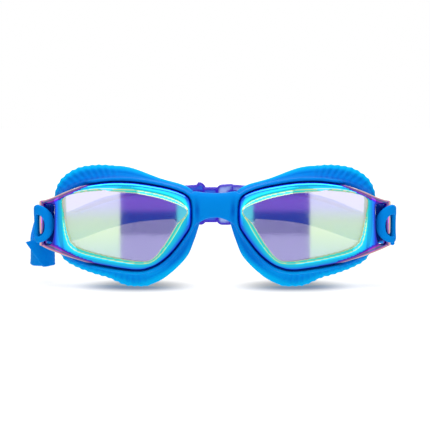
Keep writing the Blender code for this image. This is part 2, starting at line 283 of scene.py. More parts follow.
def plate(edge, holes, round_off, spacing, fine=0.5, creases=()):
    """A flat triangulated sheet inside the edge and outside the holes, with close rows along every edge, and
    with mesh edges along the creases. It returns the points, the triangles, and each point's distance from
    the nearest edge."""
    loops = [even(loop, fine) for loop in [edge] + holes]
    creases = [even(loop, fine) for loop in creases]
    rows = []
    for loop in loops:
        way = np.roll(loop, -1, axis=0) - np.roll(loop, 1, axis=0)
        way /= np.maximum(np.hypot(*way.T), 1e-9)[:, None]
        normal = np.stack([-way[:, 1], way[:, 0]], 1)
        for share in (0.05, 0.18, 0.38, 0.65, 1.0):
            for turn in (-1, 1):
                rows.append(loop + normal * turn * round_off * share)
                rows[-1] = rows[-1][distance(rows[-1], loop) > round_off * share * 0.96]
    low, high = loops[0].min(0), loops[0].max(0)
    grid = []
    for k, y in enumerate(np.arange(low[1], high[1], spacing * 0.866)):
        xs = np.arange(low[0] + (k % 2) * spacing / 2, high[0], spacing)
        grid.append(np.stack([xs, np.full(len(xs), y)], 1))
    grid = np.concatenate(grid)
    far = np.minimum.reduce([distance(grid, loop) for loop in loops])
    loose = np.concatenate(rows + [grid[far > round_off + spacing * 0.45]])
    keep = inside(loose, loops[0])
    for loop in loops[1:]:
        keep &= ~inside(loose, loop)
    loose = loose[keep]
    near = np.minimum.reduce([distance(loose, loop) for loop in loops])
    loose = loose[near > round_off * 0.03]
    for loop in creases:
        loose = loose[distance(loose, loop) > spacing * 0.35]
    fixed = np.concatenate(loops + creases)
    edges, start = [], 0
    for loop in loops + creases:
        edges += [(start + i, start + (i + 1) % len(loop)) for i in range(len(loop))]
        start += len(loop)
    every = np.concatenate([fixed, loose])
    found = delaunay_2d_cdt([Vector(p) for p in every], edges, [], 0, 1e-5)
    points = np.array([tuple(p) for p in found[0]])
    triangles = np.array([f for f in found[2] if len(f) == 3])
    middle = points[triangles].mean(1)
    keep = inside(middle, loops[0])
    for loop in loops[1:]:
        keep &= ~inside(middle, loop)
    triangles = triangles[keep]
    depth = np.minimum.reduce([distance(points, loop) for loop in loops])
    depth[depth < 1e-3] = 0
    return points, triangles, depth


def two_sided(points, triangles, depth, front, back):
    """Joins a front and a back made from the same sheet where they meet on its edge."""
    rim = depth == 0
    behind = np.arange(len(points))
    behind[~rim] = len(points) + np.arange((~rim).sum())
    placed = np.concatenate([np.where(rim[:, None], (front + back) / 2, front), back[~rim]])
    faces = [tuple(t) for t in triangles] + [tuple(behind[t][::-1]) for t in triangles]
    return placed, faces, np.concatenate([np.arange(len(points)), np.nonzero(~rim)[0]])


def sharpen(thing, on_line):
    """Keeps a crisp edge in the shading wherever both ends of an edge lie on the line."""
    mesh = thing.data
    ends = read_edges(mesh)
    crisp = mesh.attributes.get("sharp_edge") or mesh.attributes.new("sharp_edge", "BOOLEAN", "EDGE")
    old = np.zeros(len(ends), bool)
    crisp.data.foreach_get("value", old)
    crisp.data.foreach_set("value", old | (on_line[ends[:, 0]] & on_line[ends[:, 1]]))


def rounded(depth, radius):
    """Share of the full half thickness at this distance from the edge: 0 on the edge, 1 past the radius."""
    share = np.clip(depth / radius, 0, 1)
    return np.sqrt(1 - (1 - share) ** 2)


def join(base, *others):
    with bpy.context.temp_override(active_object=base, selected_editable_objects=[base, *others]):
        bpy.ops.object.join()
    return base


# Silicone frame.

def seal_back(angles):
    """How far back the eye seal reaches at each angle round the cup's centre."""
    return 20.5 + 6.0 * np.cos(angles)


def cup(side):
    """One eye seal, as in part.py, with more rings so that it stays smooth. The rings run from the groove
    that holds the lens, over the rim and the outer wall to the rolled lip, and back along the inside."""
    steps = 360
    angles = np.arange(steps) * TURN / steps
    rim, lip = radii(RIM, angles), radii(LIP, angles)
    back = seal_back(angles)
    rim_x = CUP_CENTRE[0] + rim * np.cos(angles)
    face = face_y(rim_x)
    drop = np.clip((rim_x - 52) / 4, 0, 1)
    narrow = np.clip((rim_x - 57) / 6, 0, 1)
    sheet = LENS_THICK + GAP
    wall = lip - rim

    def ring(radius, depth):
        x = CUP_CENTRE[0] + radius * np.cos(angles)
        z = CUP_CENTRE[1] + radius * np.sin(angles)
        return np.stack([x, depth, np.maximum(z, 0)], 1)

    def sunk(depth, behind):
        return face + depth * (1 - drop) + (sheet + behind) * drop

    return make("cup", *loft([
        ring(rim - 2.2, face + sheet),
        ring(rim + GAP - 1.7 * narrow, face + sheet),
        ring(rim + GAP - 1.1 * narrow, sunk(0.2, 0.05)),
        ring(rim + 0.7 - 1.2 * narrow, sunk(-0.35, 0.1)),
        ring(rim + 1.1 - 1.3 * narrow, sunk(-0.5, 0.2)),
        ring(rim + 1.8 - 1.6 * narrow, sunk(0.2, 0.6)),
        ring(rim + 1.3 + 0.06 * wall - 0.9 * narrow, face + 0.2 * (back - face) + 1.5 * drop),
        ring(rim + 0.8 + 0.16 * wall - 0.3 * narrow, face + 0.45 * (back - face) + 0.8 * drop),
        ring(rim + 0.8 + 0.28 * wall, face + 0.68 * (back - face)),
        ring(rim + 0.4 + 0.55 * wall, back - 4.4),
        ring(lip - 1.5, back - 3.7),
        ring(lip - 0.35, back - 2.9),
        ring(lip, back - 2.0),
        ring(lip - 0.25, back - 0.8),
        ring(lip - 0.9, back - 0.1),
        ring(lip - 2.2, back + 0.2),
        ring(lip - 4.0, back - 0.2),
        ring(lip - 5.5, back - 1.0),
        ring(lip - 5.2, back - 2.6),
        ring(rim - 1.4 + 0.1 * wall, face + 0.55 * (back - face)),
    ], True), side)


def bridge():
    """The nose bridge: a rounded bar that widens into each seal."""
    steps = 36
    rings = []
    for x in np.linspace(-9.6, 9.6, 25):
        spread = (x / 8.4) ** 2
        top, bottom = 41.9 + 0.9 * spread, 31.3 - 3.6 * spread
        middle, half = (top + bottom) / 2, (top - bottom) / 2
        front, back = 0.5 - 0.4 * spread, 7.0 + 1.2 * spread
        turn = np.arange(steps) * TURN / steps
        y = np.sign(np.cos(turn)) * abs(np.cos(turn)) ** 0.6 * (back - front) / 2 + (front + back) / 2
        z = np.sign(np.sin(turn)) * abs(np.sin(turn)) ** 0.6 * half + middle
        rings.append(np.stack([np.full(steps, x), y, z], 1))
    return make("frame_silicone", *loft(rings, False, True))


def relax(thing, rounds, share=0.5, where=None):
    """Evens out the surface by moving each point towards its neighbours."""
    points = read_points(thing.data)
    count = len(points)
    a, b = read_edges(thing.data).T
    links = np.bincount(a, minlength=count) + np.bincount(b, minlength=count)
    weight = share if where is None else share * where(points / MM)[:, None]
    for k in range(rounds):
        total = np.zeros_like(points)
        for axis in range(3):
            total[:, axis] = np.bincount(a, points[b, axis], count) + np.bincount(b, points[a, axis], count)
        points += (total / np.maximum(links, 1)[:, None] - points) * weight
    write_points(thing.data, points)


def carve(thing):
    """Ribs on the walls, scallops on the lips and the dents at the nose, as moves of the finished surface,
    and the painted light and shade in its colour.
    """
    mesh = thing.data
    points = read_points(mesh) / MM
    points[:, 1] -= SHIFT_Y
    side = np.where(points[:, 0] < 0, -1.0, 1.0)
    x, y, z = abs(points[:, 0]), points[:, 1].copy(), points[:, 2]
    dx, dz = x - CUP_CENTRE[0], z - CUP_CENTRE[1]
    angle, radius = np.arctan2(dz, dx), np.hypot(dx, dz)
    rim, lip = radii(RIM, angle), radii(LIP, angle)
    table = np.linspace(-math.pi, math.pi, 721)
    reach = radii(LIP, table)
    walk = np.hypot(np.diff(reach * np.cos(table)), np.diff(reach * np.sin(table)))
    along = np.interp(angle, table, np.concatenate([[0], np.cumsum(walk)]))
    wave = np.cos(along / RIB_PITCH * TURN)
    degrees = np.degrees(angle)
    upper = smooth(degrees, 16, 26) * (1 - smooth(degrees, 66, 88))
    lower = smooth(degrees, -118, -98) * (1 - smooth(degrees, -26, -16))
    ribbed = np.maximum(upper, lower)
    share = (radius - rim) / np.maximum(lip - rim, 1)
    face = face_y(np.minimum(CUP_CENTRE[0] + rim * np.cos(angle), 68))
    back = seal_back(angle)
    deep = (y - face) / (back - face)
    outer = smooth(share, 0.12, 0.3) * (1 - smooth(share, 0.72, 0.88)) * smooth(deep, 0.1, 0.25)
    outer *= 1 - smooth(deep, 0.86, 0.95)
    edge = smooth(share, 0.72, 0.95) * smooth(deep, 0.55, 0.75)
    groove = (0.5 + 0.5 * wave) * ribbed * outer
    points[:, 1] -= RIB_DEPTH * groove
    points[:, 0] += side * (dx / radius) * (wave - 0.6) * SCALLOP * ribbed * edge
    points[:, 2] += (dz / radius) * (wave - 0.6) * SCALLOP * ribbed * edge
    front = 1 - smooth(y, 3.0, 6.0)
    dent = np.exp(-((x - 7.6 - 0.06 * (z - 34)) / 0.9) ** 2 - ((z - 34.5) / 3.8) ** 2) * front
    points[:, 1] += 1.0 * dent
    crease = np.exp(-((share - 0.52) / 0.06) ** 2) * smooth(deep, 0.25, 0.45) * (1 - smooth(deep, 0.85, 0.95))
    smooth_side = (1 - ribbed) * smooth(share, 0.2, 0.35)
    points[:, 1] += 0.3 * crease * smooth_side
    points[:, 2] = np.maximum(points[:, 2], 0.02)
    points[:, 1] += SHIFT_Y
    write_points(mesh, points * MM)
    # Painted light and shade in the colour: the lobes' undersides are painted lighter, the walls by the lens
    # get painted shade, the lips a painted highlight, and the ribs' grooves and the nose dents painted shade.
    # The bridge is a little lighter.
    on_cup = smooth(x, 9.0, 13.0)
    tone_and_painted_light = 0.42 + 0.1 * (1 - on_cup) + 0.3 * on_cup * (1 - smooth(z, 5, 14))
    tone_and_painted_light = tone_and_painted_light - 0.28 * on_cup * (1 - smooth(share, 0.1, 0.45)) * smooth(deep, 0.02, 0.15)
    tone_and_painted_light += 0.5 * on_cup * smooth(share, 0.5, 0.95) * smooth(deep, 0.5, 0.8)
    tone_and_painted_light -= 0.12 * groove
    tone_and_painted_light -= 0.3 * dent
    add_layer(mesh, "tone_and_painted_light", np.clip(tone_and_painted_light, 0, 1))


def frame_silicone():
    """Both seals and the bridge, blended into one even surface and then detailed."""
    thing = join(bridge(), cup(1), cup(-1))
    change = thing.modifiers.new("even", "REMESH")
    change.mode = "VOXEL"
    change.voxel_size = VOXEL * MM
    change.use_smooth_shade = True
    graph = bpy.context.evaluated_depsgraph_get()
    thing.data = bpy.data.meshes.new_from_object(thing.evaluated_get(graph))
    thing.modifiers.clear()
    relax(thing, 5)
    relax(thing, 40, where=lambda p: 1 - smooth(abs(p[:, 0]), 8.5, 12.0))
    carve(thing)
    relax(thing, 1, 0.3)
    thing.data.shade_smooth()
    return thing


# Lenses.

def film_and_highlight(points, share, in_window, slot_far):
    """Where each point falls on the mirror film's run of colours: 0 is yellow-green, 1 is cream. The cream is
    a painted highlight on the rails.
    """
    x, z = points[:, 0], points[:, 1]
    band = np.interp(share, [0, 0.15, 0.27, 0.3, 0.33, 0.5, 0.7, 0.85, 0.94, 1.0],
                     [0.05, 0.08, 0.10, 0.03, 0.11, 0.15, 0.21, 0.28, 0.36, 0.45])
    arm = 0.17 + 0.25 * smooth(x, 66, 71)
    value = np.where(in_window, 0.0, band)
    mix = smooth(x, 64.8, 67.2)
    value = value * (1 - mix) + arm * mix
    value = np.maximum(value, 0.46 * (1 - smooth(slot_far, 0.5, 1.6)))
    # Along the upper and lower edges towards and along the arm, the colour sweeps from violet through pink to
    # cream at the very edge: the film's colours over the rounded rail, with a painted highlight in the cream.
    lens_edge = catmull(LENS_EDGE, 8, False)
    middle = len(lens_edge) // 2
    top_far = distance(points, lens_edge[:middle], False)
    low_far = distance(points, lens_edge[middle:], False)
    low_wide = np.interp(x, [38, 50, 60, 68, 76], [0.5, 0.9, 1.7, 3.3, 4.2])
    top_wide = np.interp(x, [50, 58, 66, 76], [0.01, 1.2, 2.2, 2.4])
    low_highlight = np.clip(1 - low_far / low_wide, 0, 1) * smooth(x, 36, 46)
    top_highlight = np.clip(1 - top_far / top_wide, 0, 1) * smooth(x, 52, 60)
    value = np.maximum(value, np.where(low_highlight > 0, 0.4 + 0.6 * low_highlight, 0))
    return np.maximum(value, np.where(top_highlight > 0, 0.4 + 0.6 * top_highlight, 0))


def strap_bar(side):
    """The round bar that the strap's eye turns on."""
    steps = 28
    turns = np.arange(steps) * TURN / steps
    rings = []
    for z, r in ((BAR_LOW, 0.3), (BAR_LOW + 0.1, 1.0), (BAR_LOW + 0.5, BAR_R), (BAR_HIGH - 0.5, BAR_R),
                 (BAR_HIGH - 0.1, 1.0), (BAR_HIGH, 0.3)):
        rings.append(np.stack([BAR_X + r * np.cos(turns), BAR_Y + r * np.sin(turns), np.full(steps, z)], 1))
    points, faces = loft(rings, False, True)
    # The bar's outer half runs from violet to cream: the film's colours over the round bar, with a painted
    # highlight in the cream.
    outward = (points[:, 0] - BAR_X) / BAR_R
    colour = 0.48 + 0.5 * smooth(outward, -0.7, 0.9)
    return make("bar", points, faces, side, {"film_and_highlight": colour, "clear": np.zeros(len(points))})


def lens(name, side):
    """A lens with its rim, arm and strap bar. The share is 0 on the window's edge and 1 on the rim, and the
    SHELF is a share: the flat step inside the rim's rounded bead."""
    slot = catmull(SLOT, 5, False)
    edge = np.vstack([catmull(LENS_EDGE, 10, False), slot])
    turns = np.arange(360) * TURN / 360
    way = np.stack([np.cos(turns), np.sin(turns)], 1)
    on_line = 2e-3
    creases = []
    for part in (0.0, SHELF):
        reach = radii(WINDOW, turns) * (1 - part) + radii(RIM, turns) * part
        creases.append(way * reach[:, None] + CUP_CENTRE)
    points, triangles, depth = plate(edge, [], LENS_ROUND, 0.65, 0.45, creases)
    x, z = points.T
    angle = np.arctan2(z - CUP_CENTRE[1], x - CUP_CENTRE[0])
    radius = np.hypot(x - CUP_CENTRE[0], z - CUP_CENTRE[1])
    window, rim = radii(WINDOW, angle), radii(RIM, angle)
    share = np.clip((radius - window) / (rim - window), 0, 1)
    share[abs(share) < on_line] = 0
    in_window = share <= 0
    shelf_drop = 0.25
    on_shelf = WINDOW_RAISE - shelf_drop * share / SHELF
    on_bead = (WINDOW_RAISE - shelf_drop) * (1 - np.clip((share - SHELF) / (1 - SHELF), 0, 1) ** 2.2)
    raised = np.where(share < SHELF, on_shelf, on_bead)
    raised *= 1 - smooth(x, 64.0, 69.5)
    turn, y = face_turn(x), face_y(x)
    back_way = np.stack([-np.sin(turn), np.cos(turn), np.zeros(len(x))], 1)
    skin = np.stack([x, y, z], 1)
    half = LENS_THICK / 2
    full = rounded(depth, LENS_ROUND)
    front = skin + back_way * (half * (1 - full))[:, None] - np.stack([0 * x, raised * full, 0 * x], 1)
    back = skin + back_way * (half * (1 + full))[:, None] - np.stack([0 * x, raised * full * 0.9, 0 * x], 1)
    placed, faces, source = two_sided(points, triangles, depth, front, back)
    colour = film_and_highlight(points, share, in_window, distance(points, slot, False))[source]
    clear = in_window.astype(float)[source]
    whole = make(name, placed, faces, side, {"film_and_highlight": colour, "clear": clear})
    for part in (0.0, SHELF):
        sharpen(whole, (abs(share - part) < on_line)[source] & (radius[source] > 0.5 * window[source]))
    return join(whole, strap_bar(side))


# Straps.

EYE_LINE = [
    (-3.9, -0.2), (-4.4, -2.2), (-4.0, -4.1), (-2.4, -4.9), (-1.0, -4.6), (0.3, -4.0), (1.6, -3.1),
    (2.6, -1.8), (3.05, 0.0), (3.1, 3.3), (3.5, 8.3), (4.0, 14.0),
]
TONGUE_LINE = [(-4.15, -1.4), (-3.7, 0.8), (-2.3, 3.6), (-0.4, 6.6), (1.6, 9.4), (3.2, 12.4), (4.0, 15.5)]


def loop_part(out, back, first, last, steps):
    """Part of the loop's middle line round the head, in degrees; 0 is its widest place, 90 the rear."""
    angles = np.linspace(math.radians(first), math.radians(last), steps)
    reach = np.where(angles > 0, back - LOOP_WIDEST_Y, LOOP_FRONT_REACH)
    return np.stack([out * np.cos(angles), LOOP_WIDEST_Y + reach * np.sin(angles)], 1)


# The longer tail's free end, as (x, y, middle z, lean in degrees).
TAIL_CURL = [
    (84.4, 70.0, 17.4, 6), (84.3, 63.0, 15.2, 14), (84.2, 56.5, 13.0, 22), (83.6, 51.0, 11.9, 26),
    (81.6, 46.6, 11.7, 26), (78.6, 43.2, 12.1, 22), (75.4, 40.2, 12.8, 16), (73.0, 36.4, 13.6, 12),
    (73.2, 32.2, 14.0, 14), (75.3, 29.2, 13.9, 20), (77.8, 27.8, 13.4, 27), (80.3, 27.2, 13.0, 34),
]


def strap_middle(y):
    """Height of the band's middle line: it sags between the arm and the clasp."""
    return STRAP_Z - STRAP_SAG * smooth(y, 35, 80) * (1 - smooth(y, 100, CLASP_Y - CLASP_BEND - 0.5))


def band(name, path, half_tall, holes, ribs, side, painted_shade):
    """A band laid along a path of (x, y, middle z, lean): half_tall and ribs give its shape at each distance,
    and the last argument how dark its colour is painted there, as painted shade."""
    path = even(catmull(path, 6, False), 0.5, False)
    steps = np.hypot(*np.diff(path[:, :2], axis=0).T)
    along = np.concatenate([[0], np.cumsum(steps)])
    length = along[-1]
    where = np.linspace(0, length, int(length / 0.6))
    middle = np.interp(where, along, path[:, 2])
    upper = np.stack([where, middle + half_tall(where)], 1)
    lower = np.stack([where, middle - half_tall(where)], 1)
    points, triangles, depth = plate(np.vstack([lower, upper[::-1]]), holes, BAND_ROUND, 1.1, 0.55)
    s, h = points.T
    way = np.gradient(path[:, :2], along, axis=0)
    way /= np.hypot(*way.T)[:, None]
    centre = np.stack([np.interp(s, along, path[:, k]) for k in (0, 1)], 1)
    tangent = np.stack([np.interp(s, along, way[:, k]) for k in (0, 1)], 1)
    tangent /= np.hypot(*tangent.T)[:, None]
    normal = np.stack([tangent[:, 1], -tangent[:, 0]], 1)
    half = STRAP_THICK / 2 * rounded(depth, BAND_ROUND) - ribs(s) * smooth(depth, 0.6, 1.6)
    level = np.interp(s, along, path[:, 2])
    lean = np.radians(np.interp(s, along, path[:, 3]))
    place = centre + tangent * ((h - level) * np.sin(lean))[:, None]
    flat = np.stack([place[:, 0], place[:, 1], level + (h - level) * np.cos(lean)], 1)
    out = np.stack([normal[:, 0], normal[:, 1], 0 * h], 1) * half[:, None]
    placed, faces, source = two_sided(points, triangles, depth, flat + out, flat - out)
    return make(name, placed, faces, side, {"tone_and_painted_light": painted_shade(s)[source]})


def strap(name, side, tail_end, curl=()):
    """A strap: its eye round the bar, the band along the head and through the clasp half, and the tail beside
    it up to tail_end degrees. The tongue is the eye's inner layer, behind the bar."""
    eye = [(BAR_X + x, BAR_Y + y) for x, y in EYE_LINE]
    head = loop_part(LOOP_HALF_WIDE, CLASP_Y - CLASP_BEND, -14.5, 66, 30)
    # The clasp's inner bar, between its two slots. The band turns back round it.
    bar_x = CLASP_HALF_WIDE - 9.25
    turns = np.radians(np.linspace(270, 90, 12))
    bend = [(bar_x + 9.0, CLASP_Y - CLASP_BEND), (bar_x + 4.0, CLASP_Y - CLASP_BEND)]
    bend += [(bar_x + CLASP_BEND * math.cos(a), CLASP_Y + CLASP_BEND * math.sin(a)) for a in turns]
    bend += [(bar_x + 4.0, CLASP_Y + CLASP_BEND), (bar_x + 9.0, CLASP_Y + CLASP_BEND)]
    tail = loop_part(LOOP_HALF_WIDE + TAIL_LAP, CLASP_Y + CLASP_BEND - 0.9, 62, tail_end, 26)
    line = np.array(eye + [tuple(p) for p in head] + bend + [tuple(p) for p in tail])
    path = np.column_stack([line, strap_middle(line[:, 1]), 0 * line[:, 1]])
    if curl:
        path = np.vstack([path, curl])

    def half_tall(s):
        start = EYE_TALL / 2 * np.clip(1 - (1 - np.clip((s - 2.8) / 8.5, 0, 1)) ** 2.2, 0, 1) ** 0.5
        body = EYE_TALL / 2 + (STRAP_TALL - EYE_TALL) / 2 * smooth(s, 11, 16)
        return np.minimum(np.maximum(start, 2.0), body)

    def ribs(s):
        wave = 0.5 + 0.5 * np.cos(s / BAND_RIB_PITCH * TURN)
        return BAND_RIB_DEPTH * wave * smooth(s, 30, 36)

    turn = np.arange(40) * TURN / 40
    round_side = np.where(np.cos(turn) < 0, 1.0, 0.55)
    hole = np.stack([10.8 + 3.8 * np.sign(np.cos(turn)) * abs(np.cos(turn)) ** round_side,
                     STRAP_Z - 0.8 + 4.7 * np.sign(np.sin(turn)) * abs(np.sin(turn)) ** 0.8], 1)
    main = band(name, path, half_tall, [hole], ribs, side, lambda s: 0.5 + 0 * s)
    tongue_path = np.array([(BAR_X + x, BAR_Y + y, STRAP_Z, 0) for x, y in TONGUE_LINE])
    # The tongue's front shows through the lens's slot and gets painted shade: its colour is darkest there and
    # lightens from 6 to 14 mm along it.
    tongue = band("tongue", tongue_path, lambda s: 0 * s + TONGUE_TALL / 2 - 1.2 * smooth(s, 8, 16), [],
                  lambda s: 0 * s, side, lambda s: 0.5 * smooth(s, 6, 14))
    return join(main, tongue)


# Clasp.

def rounded_box(low, high, radius):
    """A rectangle with round corners, as a closed outline."""
    corners = ((high[0] - radius, high[1] - radius, 0), (low[0] + radius, high[1] - radius, 90),
               (low[0] + radius, low[1] + radius, 180), (high[0] - radius, low[1] + radius, 270))
    steps = 8
    outline = []
    for x, z, start in corners:
        for k in range(steps + 1):
            a = math.radians(start + 90 * k / steps)
            outline.append((x + radius * math.cos(a), z + radius * math.sin(a)))
    return np.array(outline)


def slab(name, edge, holes, y, half, side, round_off=0.7):
    """An upright plate of the clasp with rounded edges."""
    points, triangles, depth = plate(edge, holes, round_off, 1.4, 0.6)
    x, z = points.T
    thick = half * rounded(depth, round_off)
    front = np.stack([x, y - thick, z], 1)
    back = np.stack([x, y + thick, z], 1)
    placed, faces, source = two_sided(points, triangles, depth, front, back)
    edge_glow = np.exp(-depth / 1.3)[source]
    return make(name, placed, faces, side, {"rim": edge_glow})


def clasp_half(name, side, inner_x, hump):
    """A plate with two strap slots and round corners. Its top edge rises towards the middle, in a hump."""
    low, high = STRAP_Z - CLASP_TALL / 2, STRAP_Z + CLASP_TALL / 2
    edge = even(rounded_box((inner_x, low), (CLASP_HALF_WIDE, high), 3.0), 0.4)
    inner = (edge[:, 0] < 9) & (edge[:, 1] > STRAP_Z)
    edge[:, 1] += 0.6 * (1 - smooth(edge[:, 0], 8, 18)) * (edge[:, 1] > STRAP_Z)
    edge[:, 1] += 1.2 * smooth(edge[:, 0], 6, 16) * (edge[:, 1] < STRAP_Z)
    edge[:, 1] += hump * np.exp(-((edge[:, 0] - 8.0) / 3.0) ** 2) * inner
    tall = STRAP_TALL / 2 + 0.15
    slots = [rounded_box((CLASP_HALF_WIDE - a, STRAP_Z - tall), (CLASP_HALF_WIDE - b, STRAP_Z + tall), 1.0)
             for a, b in ((8.0, 2.5), (13.8, 10.5))]
    return slab(name, edge, slots, CLASP_Y, CLASP_THICK / 2, side)


def clasp_socket():
    """The left half: its plate and a flat sleeve of a front, a back and two walls."""
    half = clasp_half("clasp_socket_look", -1, 4.4, 1.2)
    sleeve = rounded_box((-1.6, STRAP_Z - 8.5), (6.4, STRAP_Z + 9.2), 1.0)
    apart = 1.85
    front = slab("front", sleeve, [], CLASP_Y - apart, 0.45, -1, 0.4)
    back = slab("back", sleeve, [], CLASP_Y + apart, 0.45, -1, 0.4)
    for low in (STRAP_Z - 8.5, STRAP_Z + 6.7):
        outline = rounded_box((-0.5, low), (6.4, low + 1.8), 0.6)
        half = join(half, slab("wall", outline, [], CLASP_Y, 1.5, -1, 0.4))
    return join(half, front, back)


def clasp_plug():
    """The right half: its plate and the tongue that lies in the sleeve."""
    half = clasp_half("clasp_plug_look", 1, 0.7, 0.3)
    outline = rounded_box((-4.6, STRAP_Z - 6.1), (3.0, STRAP_Z + 6.1), 1.2)
    return join(half, slab("tongue", outline, [], CLASP_Y, 0.7, 1, 0.5))


# Materials.

def material(name):
    made = bpy.data.materials.new(name)
    made.use_nodes = True
    tree = made.node_tree
    return made, tree, tree.nodes["Principled BSDF"]


def node(tree, kind, **settings):
    made = tree.nodes.new(kind)
    for key, value in settings.items():
        if hasattr(made, key):
            setattr(made, key, value)
        else:
            made.inputs[key.replace("_", " ").title()].default_value = value
    return made


def mixed(tree, share, first, second):
    """A blend of two shaders: all of the first where the share is 0."""
    both = tree.nodes.new("ShaderNodeMixShader")
    tree.links.new(share, both.inputs["Fac"])
    tree.links.new(first, both.inputs[1])
    tree.links.new(second, both.inputs[2])
    return both.outputs["Shader"]


def show(tree, surface):
    tree.links.new(surface, tree.nodes["Material Output"].inputs["Surface"])


def added(tree, first, second):
    total = node(tree, "ShaderNodeMath", operation="ADD")
    tree.links.new(first, total.inputs[0])
    tree.links.new(second, total.inputs[1])
    return total.outputs["Value"]


def noise(tree, scale, detail=3.0):
    place = tree.nodes.new("ShaderNodeTexCoord")
    made = node(tree, "ShaderNodeTexNoise", scale=scale, detail=detail)
    tree.links.new(place.outputs["Object"], made.inputs["Vector"])
    return made.outputs["Fac"]


def ramp(tree, value, stops):
    made = tree.nodes.new("ShaderNodeValToRGB")
    run = made.color_ramp
    while len(run.elements) < len(stops):
        run.elements.new(0.5)
    for element, (place, colour) in zip(run.elements, stops):
        element.position = place
        element.color = (*colour, 1)
    tree.links.new(value, made.inputs["Fac"])
    return made.outputs["Color"]


def grey_run(tree, value, low, high):
    made = node(tree, "ShaderNodeMapRange")
    made.inputs["To Min"].default_value = low
    made.inputs["To Max"].default_value = high
    tree.links.new(value, made.inputs["Value"])
    return made.outputs["Result"]


def bump(tree, shader, height, strength, size):
    made = node(tree, "ShaderNodeBump")
    made.inputs["Strength"].default_value = strength
    made.inputs["Distance"].default_value = size
    tree.links.new(height, made.inputs["Height"])
    tree.links.new(made.outputs["Normal"], shader.inputs["Normal"])


# The silicone's colour, from the deepest painted shade to the painted highlight on the lips.
AZURE = [
    (0.0, (0.0, 0.03, 0.30)), (0.2, (0.0, 0.13, 0.58)), (0.5, (0.0, 0.235, 0.76)), (1.0, (0.0, 0.49, 0.94)),
]


def silicone():
    """Saturated azure silicone: satin, slightly waxy, with a fine moulded grain."""
    made, tree, shader = material("silicone_azure")
    # The colour follows the per-point tone, which carries painted light and shade as well as the silicone's
    # own colour.
    tone_and_painted_light = node(tree, "ShaderNodeAttribute", attribute_name="tone_and_painted_light")
    uneven = added(tree, tone_and_painted_light.outputs["Fac"], grey_run(tree, noise(tree, 60.0, 2.0), -0.03, 0.03))
    tree.links.new(ramp(tree, uneven, AZURE), shader.inputs["Base Color"])
    tree.links.new(grey_run(tree, noise(tree, 900.0), 0.48, 0.62), shader.inputs["Roughness"])
    shader.inputs["Subsurface Weight"].default_value = 0.06
    shader.inputs["Subsurface Radius"].default_value = (0.3, 0.7, 1.0)
    shader.inputs["Subsurface Scale"].default_value = 0.002
    shader.inputs["IOR"].default_value = 1.41
    shader.inputs["Specular IOR Level"].default_value = 0.03
    bump(tree, shader, noise(tree, 1500.0), 0.12, 0.0001)
    return made


# The mirror film's run of colours, from yellow-green over cyan, blue and violet to cream; its upper end, from
# magenta over pink to cream, serves the rails, the slot's edge and the strap bar, where the cream is a
# painted highlight.
FILM_AND_HIGHLIGHT = [
    (0.0, (0.80, 1.0, 0.62)), (0.03, (0.80, 0.95, 0.45)), (0.07, (0.06, 0.83, 0.69)),
    (0.12, (0.0, 0.73, 0.91)), (0.18, (0.0, 0.55, 1.0)), (0.26, (0.0, 0.22, 0.95)),
    (0.34, (0.01, 0.05, 0.82)), (0.44, (0.04, 0.01, 0.42)), (0.54, (0.25, 0.02, 0.55)),
    (0.62, (0.42, 0.05, 0.42)), (0.69, (0.02, 0.22, 0.25)), (0.76, (0.20, 0.05, 0.45)),
    (0.83, (0.62, 0.20, 0.45)), (0.9, (0.75, 0.42, 0.42)), (1.0, (0.92, 0.85, 0.66)),
]


def mirror():
    """Plastic with a thin mirror film, whose colour runs with the slope, with painted highlights on the rails
    and the strap bar. The window lets light through.
    """
    made, tree, shader = material("mirror_film")
    value = node(tree, "ShaderNodeAttribute", attribute_name="film_and_highlight")
    clear = node(tree, "ShaderNodeAttribute", attribute_name="clear")
    uneven = added(tree, value.outputs["Fac"], grey_run(tree, noise(tree, 45.0, 1.0), -0.012, 0.012))
    tree.links.new(ramp(tree, uneven, FILM_AND_HIGHLIGHT), shader.inputs["Base Color"])
    shader.inputs["Metallic"].default_value = 1.0
    tree.links.new(grey_run(tree, noise(tree, 300.0), 0.015, 0.04), shader.inputs["Roughness"])
    shader.inputs["Coat Weight"].default_value = 0.4
    shader.inputs["Coat Roughness"].default_value = 0.03
    bump(tree, shader, noise(tree, 120.0, 1.0), 0.01, 0.0002)
    tint = node(tree, "ShaderNodeBsdfTransparent")
    tint.inputs["Color"].default_value = (0.76, 0.74, 1.0, 1)
    share = node(tree, "ShaderNodeMath", operation="MULTIPLY")
    share.inputs[1].default_value = 0.5
    tree.links.new(clear.outputs["Fac"], share.inputs[0])
    show(tree, mixed(tree, share.outputs["Value"], shader.outputs["BSDF"], tint.outputs["BSDF"]))
    return made


def clasp_plastic(name, body, through_share):
    """Clear violet-blue plastic, darker along its edges."""
    made, tree, shader = material(name)
    edge = node(tree, "ShaderNodeAttribute", attribute_name="rim")
    tree.links.new(ramp(tree, edge.outputs["Fac"], [(0.2, body), (0.55, (0.045, 0.01, 0.60))]),
                   shader.inputs["Base Color"])
    tree.links.new(grey_run(tree, noise(tree, 400.0), 0.08, 0.16), shader.inputs["Roughness"])
    shader.inputs["IOR"].default_value = 1.46
    bump(tree, shader, noise(tree, 250.0), 0.06, 0.0001)
    through = node(tree, "ShaderNodeBsdfTransparent")
    through.inputs["Color"].default_value = (0.60, 0.68, 1.0, 1)
    share = grey_run(tree, edge.outputs["Fac"], through_share, 0.0)
    show(tree, mixed(tree, share, shader.outputs["BSDF"], through.outputs["BSDF"]))
    return made


def dress(thing, look, stands_for, body):
    """Gives a piece its material, hides the CAD piece it stands for, and hangs it on the body it rides on,
    where one is given.
    """
    thing.data.materials.clear()
    thing.data.materials.append(look)
    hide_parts(stands_for)
    if body:
        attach(thing, body)
    return thing


